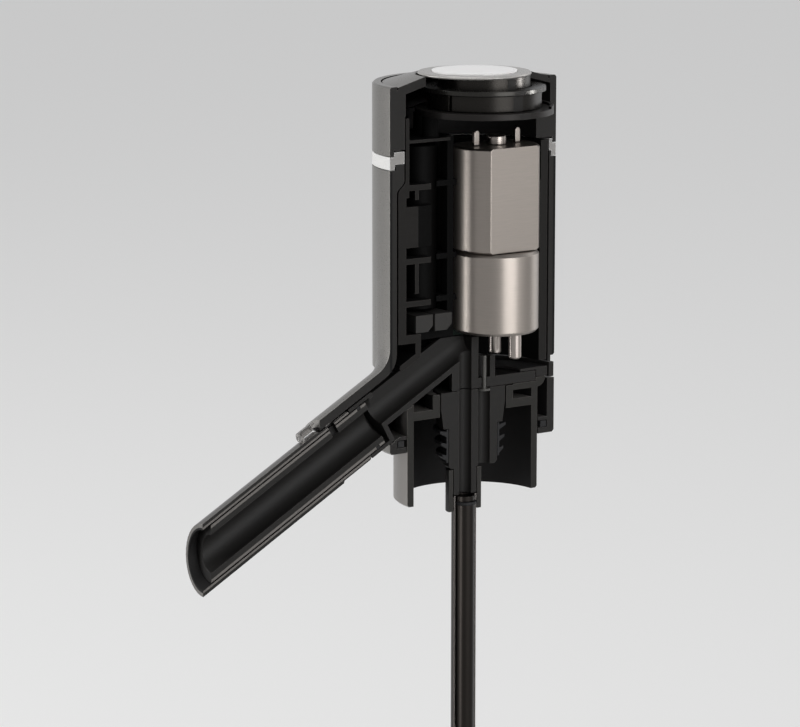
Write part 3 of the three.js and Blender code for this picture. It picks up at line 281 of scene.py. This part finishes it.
def make_world():
    """An even pale sky, which looks as pale as the far floor and lights the object less."""
    world = bpy.data.worlds.new("studio")
    world.use_nodes = True
    tree = world.node_tree
    background = tree.nodes["Background"]
    background.inputs["Color"].default_value = WORLD_COLOR
    strength = tree.nodes.new("ShaderNodeMapRange")
    strength.inputs["To Min"].default_value = WORLD_LIGHT
    strength.inputs["To Max"].default_value = WORLD_SEEN
    tree.links.new(seen_directly(tree), strength.inputs["Value"])
    tree.links.new(strength.outputs[0], background.inputs["Strength"])
    bpy.context.scene.world = world


def make_floor():
    """A pale floor. Its glow shows only where it is seen, and lights nothing."""
    mesh = bpy.data.meshes.new("floor")
    corners = [
        (-FLOOR_HALF_WIDTH, -FLOOR_HALF_WIDTH, FLOOR_LEVEL),
        (FLOOR_HALF_WIDTH, -FLOOR_HALF_WIDTH, FLOOR_LEVEL),
        (FLOOR_HALF_WIDTH, FLOOR_HALF_WIDTH, FLOOR_LEVEL),
        (-FLOOR_HALF_WIDTH, FLOOR_HALF_WIDTH, FLOOR_LEVEL),
    ]
    mesh.from_pydata(corners, [], [(0, 1, 2, 3)])
    obj = bpy.data.objects.new("floor", mesh)
    bpy.context.scene.collection.objects.link(obj)
    tree = Tree("floor")
    tree.surface("Base Color", FLOOR_COLOR)
    tree.surface("Roughness", FLOOR_ROUGHNESS)
    tree.surface("Specular IOR Level", FLOOR_CLEARNESS)
    glow = tree.math("MULTIPLY", seen_directly(tree), FLOOR_GLOW)
    tree.surface("Emission Color", WHITE)
    tree.surface("Emission Strength", glow)
    mesh.materials.append(tree.material)


# Materials


def rgb(code):
    """A linear colour from a hexadecimal sRGB code."""
    parts = [int(code[i : i + 2], 16) / 255 for i in (0, 2, 4)]
    linear = [p / 12.92 if p <= 0.04045 else ((p + 0.055) / 1.055) ** 2.4 for p in parts]
    return (*linear, 1)


def shade(code, factor):
    """The hexadecimal code of a lighter or darker shade."""
    parts = [min(255, round(int(code[i : i + 2], 16) * factor)) for i in (0, 2, 4)]
    return "".join(f"{p:02x}" for p in parts)


class Tree:
    """A few short ways to lay nodes in a material."""

    def __init__(self, name):
        self.material = bpy.data.materials.new(name)
        self.material.use_nodes = True
        self.nodes = self.material.node_tree.nodes
        self.links = self.material.node_tree.links
        self.shader = self.nodes["Principled BSDF"]
        self.coords = self.add("ShaderNodeTexCoord").outputs["Object"]
        self.geometry = self.add("ShaderNodeNewGeometry")

    def add(self, kind, inputs=None, **settings):
        """A new node with its settings made and its inputs fed."""
        node = self.nodes.new(kind)
        for key, value in settings.items():
            setattr(node, key, value)
        for key, value in (inputs or {}).items():
            self.feed(value, node.inputs[key])
        return node

    def feed(self, value, socket):
        """Links a socket's value, and sets a plain one."""
        if isinstance(value, bpy.types.NodeSocket):
            self.links.new(value, socket)
        else:
            socket.default_value = value

    def surface(self, name, value):
        """Feeds a value to the shader."""
        self.feed(value, self.shader.inputs[name])

    def math(self, operation, a, b=0.0):
        return self.add("ShaderNodeMath", {0: a, 1: b}, operation=operation).outputs[0]

    def both(self, *masks):
        """1 where every mask is 1."""
        whole = masks[0]
        for mask in masks[1:]:
            whole = self.math("MULTIPLY", whole, mask)
        return whole

    def axis(self, vector, letter):
        return self.add("ShaderNodeSeparateXYZ", {0: vector}).outputs[letter.upper()]

    def noise(self, scale, detail=3.0, roughness=0.55, stretch=(1, 1, 1)):
        scales = tuple(scale * s for s in stretch)
        mapping = self.add("ShaderNodeMapping", {"Vector": self.coords, "Scale": scales})
        inputs = {
            "Vector": mapping.outputs[0],
            "Scale": 1.0,
            "Detail": detail,
            "Roughness": roughness,
        }
        return self.add("ShaderNodeTexNoise", inputs).outputs["Fac"]

    def ramp(self, value, low=NOISE_LOW, high=NOISE_HIGH, out_low=0.0, out_high=1.0):
        inputs = {0: value, 1: low, 2: high, 3: out_low, 4: out_high}
        return self.add("ShaderNodeMapRange", inputs).outputs[0]

    def mix(self, factor, a, b):
        """A colour between two. Its sockets share names with others, so they go by number."""
        node = self.add("ShaderNodeMix", data_type="RGBA")
        self.feed(factor, node.inputs[0])
        self.feed(a, node.inputs[6])
        self.feed(b, node.inputs[7])
        return node.outputs[2]

    def blend(self, factor, a, b):
        """A number between two."""
        node = self.add("ShaderNodeMix", data_type="FLOAT")
        self.feed(factor, node.inputs[0])
        self.feed(a, node.inputs[2])
        self.feed(b, node.inputs[3])
        return node.outputs[0]

    def mottle(self, base, noise, code, amount=1.0, low=NOISE_LOW, high=NOISE_HIGH):
        """The base colour, turning to another where the noise is high, at most by amount."""
        return self.mix(self.ramp(noise, low, high, out_high=amount), base, rgb(code))

    def wash(self, base, mask, code, amount):
        """The base colour, with another over it where the mask is 1, as strong as amount."""
        return self.mix(self.math("MULTIPLY", mask, amount), base, rgb(code))

    def bump(self, height, distance, strength, normal):
        inputs = {"Height": height, "Distance": distance, "Strength": strength, "Normal": normal}
        return self.add("ShaderNodeBump", inputs).outputs[0]

    def edge(self, radius):
        """1 on an edge and 0 away from it, where the materials paint highlights, and the rounded
        normal.
        """
        bevel = self.add("ShaderNodeBevel", {"Radius": radius}, samples=EDGE_SAMPLES)
        rounded = bevel.outputs[0]
        dot = self.add(
            "ShaderNodeVectorMath",
            {0: rounded, 1: self.geometry.outputs["Normal"]},
            operation="DOT_PRODUCT",
        ).outputs["Value"]
        return self.ramp(dot, EDGE_START, EDGE_WHOLE), rounded

    def normal(self, letter):
        return self.axis(self.geometry.outputs["Normal"], letter)

    def cut_face(self):
        """1 on the faces of the cut, which look along -Y on the plane y = 0."""
        facing = self.math("LESS_THAN", self.normal("y"), CUT_LOOK)
        near = self.math("LESS_THAN", self.axis(self.coords, "y"), CUT_DEPTH)
        return self.both(facing, near)

    def distance(self, a, b):
        squares = self.math("ADD", self.math("MULTIPLY", a, a), self.math("MULTIPLY", b, b))
        return self.math("SQRT", squares)

    def within_body(self, radius, below):
        """1 on the faces inside a radius round the body's axis, apart from those that look up
        and those that lie over a level."""
        from_axis = self.distance(self.axis(self.coords, "x"), self.axis(self.coords, "y"))
        inside = self.math("LESS_THAN", from_axis, radius)
        level = self.math("LESS_THAN", self.axis(self.coords, "z"), below)
        return self.both(inside, level, self.math("LESS_THAN", self.normal("z"), LOOKS_UP))

    def within_spout(self, radius):
        """1 inside a radius round the spout's axis, on the spout's side of the body."""
        height = self.math("SUBTRACT", self.axis(self.coords, "z"), SPOUT_HEIGHT)
        across = self.math("MULTIPLY", self.axis(self.coords, "x"), SPOUT_AXIS.z)
        upward = self.math("MULTIPLY", height, -SPOUT_AXIS.x)
        from_axis = self.distance(self.math("ADD", across, upward), self.axis(self.coords, "y"))
        spout_side = self.math("LESS_THAN", self.axis(self.coords, "x"), 0)
        return self.both(spout_side, self.math("LESS_THAN", from_axis, radius))


def nowhere(tree):
    """A mask that is 0 all over."""
    return 0.0


def casing_inside(tree):
    """The inside of the casing and of its shroud over the spout, where shade is painted."""
    body = tree.within_body(BODY_RADIUS - BODY_SKIN, cap_high.z - CAP_SKIN)
    return tree.math("MAXIMUM", body, tree.within_spout(NOZZLE_RADIUS + SHROUD_CLEARANCE))


def ring_inside(tree):
    """The inside of a ring of the body."""
    return tree.within_body(BODY_RADIUS - BODY_SKIN, cap_high.z)


def collar_inside(tree):
    """The inside of the collar, over its whole height, where shade is painted."""
    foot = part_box("neck_collar")[0].z
    return tree.within_body(COLLAR_BORE, foot + COLLAR_REACH)


def nozzle_inside(tree):
    """The inside of the nozzle's shell, where shade is painted."""
    return tree.within_spout(NOZZLE_RADIUS - NOZZLE_SKIN)


def sleeve_seam(tree):
    """The dark joint of the painted sleeve, just inside the casing's outer edge."""
    x = tree.math("ABSOLUTE", tree.axis(tree.coords, "x"))
    outer = tree.math("GREATER_THAN", x, BODY_RADIUS - SLEEVE_SEAM)
    return tree.both(outer, tree.math("LESS_THAN", x, BODY_RADIUS))


def spout_band(tree, low, high):
    """1 between two radii round the spout's axis."""
    return tree.math("SUBTRACT", tree.within_spout(high), tree.within_spout(low))


def shell_highlight(tree):
    """The painted highlight along the inner edge of the nozzle's shell, beside the liner."""
    return spout_band(tree, LINER_RADIUS, LINER_RADIUS + SHELL_HIGHLIGHT_WIDTH)


def liner_highlight(tree):
    """The painted highlight along the outer edge of the liner, beside the shell."""
    inner = LINER_RADIUS - LINER_HIGHLIGHT_END
    return spout_band(tree, inner, LINER_RADIUS - LINER_HIGHLIGHT_START)


def moulded(
    name, color, roughness, metallic=0.0, cut=CUT_FACE, inside=nowhere, dark=PAINTED_INSIDE_SHADE,
    clearness=0.15, line=0.55, mark=nowhere, mark_color=SEAM,
):
    """A moulded or painted piece: its own colour outside with painted highlights on its edges, a
    painted shade inside unless another colour is given for it, and plain where it is cut, with a
    thin painted highlight along the edges of the cut and a mark of another colour on it."""
    tree = Tree(name)
    edge, rounded = tree.edge(MOULDED_EDGE)
    fine = tree.noise(MOULDED_GRAIN, detail=4)
    broad = tree.noise(MOULDED_PATCHES, detail=2)
    cut_face = tree.cut_face()
    hidden = inside(tree)
    patch = shade(color, PATCH_SHADE)
    base = tree.mottle(rgb(color), broad, patch, amount=0.35, low=0.35, high=0.65)
    # Painted highlight: the edges are paler than the rest of the outside
    base = tree.wash(base, edge, shade(color, EDGE_HIGHLIGHT_SHADE), amount=0.4)
    # Painted shade on the inside faces; the trim's inside takes its cut colour instead
    base = tree.mix(hidden, base, rgb(dark))
    sawn = tree.noise(SAW_MARKS, detail=3, stretch=ALONG_X)
    face = tree.mottle(rgb(cut), sawn, shade(cut, CUT_SHADE), amount=0.6)
    # Painted highlight: a thin pale line along the edges of the cut
    face = tree.wash(face, edge, shade(cut, CUT_LINE_HIGHLIGHT_SHADE), amount=line)
    # The mark: a dark seam on the casing, and painted highlight lines on the nozzle's cut
    face = tree.mix(mark(tree), face, rgb(mark_color))
    tree.surface("Base Color", tree.mix(cut_face, base, face))
    smoothest = roughness - MOULDED_SPREAD
    plain = tree.ramp(fine, out_low=smoothest, out_high=roughness + MOULDED_SPREAD)
    covered = tree.math("MAXIMUM", hidden, cut_face)
    tree.surface("Roughness", tree.blend(covered, plain, CUT_ROUGHNESS))
    if metallic:
        outside = tree.math("SUBTRACT", 1.0, covered)
        tree.surface("Metallic", tree.math("MULTIPLY", outside, metallic))
    tree.surface("Specular IOR Level", clearness)
    bump = tree.bump(fine, MOULDED_DEPTH, strength=0.35, normal=rounded)
    tree.surface("Normal", bump)
    return tree.material


def brushed(name, color, roughness, level=0.12):
    """Metal with fine streaks round it, their bumps as strong as level, and painted highlights on
    its edges.
    """
    tree = Tree(name)
    edge, rounded = tree.edge(METAL_EDGE)
    streaks = tree.noise(METAL_STREAKS, detail=3, roughness=0.6, stretch=ROUND_Z)
    fine = tree.noise(METAL_GRAIN, detail=3, roughness=0.6)
    broad = tree.noise(METAL_PATCHES, detail=2)
    base = tree.mottle(rgb(color), streaks, shade(color, STREAK_SHADE))
    base = tree.mottle(base, broad, shade(color, PATCH_SHADE), amount=0.25)
    # Painted highlight: the edges are paler than the rest
    base = tree.wash(base, edge, shade(color, EDGE_HIGHLIGHT_SHADE), amount=0.5)
    tree.surface("Base Color", base)
    tree.surface("Metallic", 1.0)
    smoothest = roughness * (1 - METAL_SPREAD)
    roughest = roughness * (1 + METAL_SPREAD)
    rough = tree.ramp(streaks, low=0.25, high=0.75, out_low=smoothest, out_high=roughest)
    tree.surface("Roughness", rough)
    height = tree.math("ADD", streaks, tree.math("MULTIPLY", fine, METAL_GRAIN_SHARE))
    bump = tree.bump(height, METAL_DEPTH, strength=level, normal=rounded)
    tree.surface("Normal", bump)
    return tree.material


def rubber(name, color, roughness=0.65):
    """Rubber or silicone with paler specks, and painted highlights on its edges."""
    tree = Tree(name)
    edge, rounded = tree.edge(SOFT_EDGE)
    fine = tree.noise(RUBBER_GRAIN, detail=4, roughness=0.65)
    base = tree.mottle(rgb(color), fine, shade(color, RUBBER_SPECK_SHADE))
    # Painted highlight: the edges are paler than the rest
    base = tree.wash(base, edge, shade(color, RUBBER_EDGE_HIGHLIGHT_SHADE), amount=0.4)
    tree.surface("Base Color", base)
    smoothest = roughness - RUBBER_SPREAD
    rough = tree.ramp(fine, out_low=smoothest, out_high=roughness + RUBBER_SPREAD)
    tree.surface("Roughness", rough)
    tree.surface("Specular IOR Level", 0.3)
    bump = tree.bump(fine, RUBBER_DEPTH, strength=0.4, normal=rounded)
    tree.surface("Normal", bump)
    return tree.material


def gloss(name, color, roughness, coat):
    """A smooth face under a thin clear coat, with painted highlights on its edges."""
    tree = Tree(name)
    edge, rounded = tree.edge(SOFT_EDGE)
    broad = tree.noise(GLOSS_PATCHES, detail=2)
    base = tree.mottle(rgb(color), broad, shade(color, GLOSS_PATCH_SHADE), amount=0.2)
    # Painted highlight: the edges are paler than the rest
    base = tree.wash(base, edge, shade(color, GLOSS_EDGE_HIGHLIGHT_SHADE), amount=0.3)
    tree.surface("Base Color", base)
    rough = tree.ramp(broad, out_low=roughness, out_high=roughness * 1.1)
    tree.surface("Roughness", rough)
    tree.surface("Coat Weight", coat)
    tree.surface("Coat Roughness", 0.05)
    tree.surface("Normal", rounded)
    return tree.material


def smoked(name, color):
    """A clear moulding with a grey tint."""
    tree = Tree(name)
    patches = tree.noise(SMOKE_PATCHES, detail=2)
    base = tree.mottle(rgb(color), patches, shade(color, SMOKE_SHADE), amount=0.3)
    tree.surface("Base Color", base)
    rough = tree.ramp(patches, out_low=0.06, out_high=0.12)
    tree.surface("Roughness", rough)
    tree.surface("Transmission Weight", 0.85)
    tree.surface("IOR", 1.45)
    return tree.material


def soften(obj):
    """Shades a faceted node as the smooth piece it stands for, with its corners kept sharp."""
    mesh = obj.data
    for name in ("custom_normal", "sharp_face"):
        if name in mesh.attributes:
            mesh.attributes.remove(mesh.attributes[name])
    mesh.polygons.foreach_set("use_smooth", [True] * len(mesh.polygons))
    weld = obj.modifiers.new("weld", "WELD")
    weld.merge_threshold = WELD_DISTANCE
    split = obj.modifiers.new("corners", "EDGE_SPLIT")
    split.split_angle = SMOOTH_ANGLE


def dress():
    """Gives every node its material and smooth shading."""
    casing = moulded(
        "casing_satin", "807e7b", roughness=0.3, metallic=0.8, inside=casing_inside
    )
    sleeved = moulded(
        "sleeved_satin", "807e7b", roughness=0.3, metallic=0.8, inside=casing_inside,
        mark=sleeve_seam,
    )
    ring = moulded("ring_satin", "7c7a77", roughness=0.32, metallic=0.8, inside=ring_inside)
    collar = moulded(
        "collar_satin", "807d7a", roughness=0.34, metallic=0.7, cut="272624",
        inside=collar_inside,
    )
    trim = moulded(
        "trim_pale", "e6e5e3", roughness=0.3, metallic=0.15, cut=TRIM_CUT, inside=ring_inside,
        dark=TRIM_CUT,
    )
    seam = moulded("seam_moulding", "262524", roughness=0.5)
    plain = moulded("dark_moulding", "1b1a1a", roughness=0.55)
    connector = moulded("connector_moulding", "1f1e1d", roughness=0.5, cut="2e2d2b")
    channel = moulded("channel_moulding", "181716", roughness=0.5)
    stopper = moulded("stopper_moulding", "1b1a19", roughness=0.5)
    # Near-black, a painted shade for the frame deep inside the body
    frame_shade_black = moulded("frame_painted_shade", "090909", roughness=0.8, clearness=0.06)
    nozzle = moulded(
        "nozzle_satin", "6b6967", roughness=0.3, metallic=0.8, inside=nozzle_inside,
        mark=shell_highlight, mark_color=PAINTED_LINE_HIGHLIGHT,
    )
    liner = moulded(
        "liner_moulding", "171615", roughness=0.5, mark=liner_highlight, mark_color=PAINTED_LINE_HIGHLIGHT
    )
    straw = moulded(
        "straw_moulding", "343130", roughness=0.4, metallic=0.5, cut="4a4745", line=1.0
    )
    carrier = moulded("carrier_moulding", "232120", roughness=0.4, metallic=0.4)
    housing = moulded("housing_satin", "252321", roughness=0.3, metallic=0.7)
    retainer = moulded("retainer_satin", "31302e", roughness=0.26, metallic=0.7)
    sleeve = moulded("sleeve_satin", "2b2927", roughness=0.28, metallic=0.8)
    nickel = brushed("brushed_nickel", "8f8882", roughness=0.34)
    turned = brushed("turned_steel", "99928d", roughness=0.28)
    port = brushed("port_steel", "99928d", roughness=0.34, level=0.03)
    steel = brushed("dark_steel", "272422", roughness=0.38)
    tin = brushed("tinned_tab", "9b948e", roughness=0.34)
    contact = moulded("contact_block", "2f2e2d", roughness=0.5, metallic=0.2)
    seal = rubber("black_seal", "0d0d0e")
    valve = rubber("valve_silicone", "403f3d", roughness=0.5)
    # Near-black, a painted shade for the cells deep in the battery bay
    cell = moulded("cell_wrap", "020202", roughness=0.5, clearness=0.04)
    board = moulded("board_laminate", "12231a", roughness=0.45)
    cap = moulded("button_pale", "a4a29f", roughness=0.3, metallic=0.5)
    inlay = gloss("inlay_gloss", "e6e5e4", roughness=0.3, coat=0.1)
    hood = smoked("hood_smoked", "9a9794")
    black = moulded("switch_moulding", "121213", roughness=0.5)
    looks = {
        "upper_cap": casing,
        "trim_ring": trim,
        "main_casing": sleeved,
        "seam_ring": seam,
        "base_ring": ring,
        "collar_seal": seal,
        "neck_collar": collar,
        "clamp_ring": plain,
        "bottle_stopper": stopper,
        "stopper_seal": seal,
        "straw_connector": connector,
        "outer_straw": straw,
        "inner_straw": steel,
        "straw_seal": seal,
        "spout_manifold": channel,
        "check_valve": valve,
        "inner_frame": frame_shade_black,
        "battery_cell_1": cell,
        "battery_cell_2": cell,
        "battery_contact_1": contact,
        "battery_contact_2": contact,
        "control_board": board,
        "power_socket": turned,
        "motor_can": nickel,
        "motor_bearing": turned,
        "motor_terminal_1": tin,
        "motor_terminal_2": tin,
        "pump_body": nickel,
        "pump_outlet_port": port,
        "pump_inlet_port": port,
        "switch_carrier": carrier,
        "button_housing": housing,
        "retaining_ring": retainer,
        "tact_switch": black,
        "return_spring": turned,
        "button_cap": cap,
        "button_inlay": inlay,
        "button_sleeve": sleeve,
        "nozzle_shell": nozzle,
        "nozzle_liner": liner,
        "nozzle_seal": seal,
        "air_inlet_hood": hood,
    }
    for name, material in looks.items():
        obj = nodes[name]
        obj.data.materials.clear()
        obj.data.materials.append(material)
        soften(obj)


make_camera()
make_world()
make_floor()
make_lamps()
dress()
bpy.context.scene.view_settings.view_transform = "Standard"
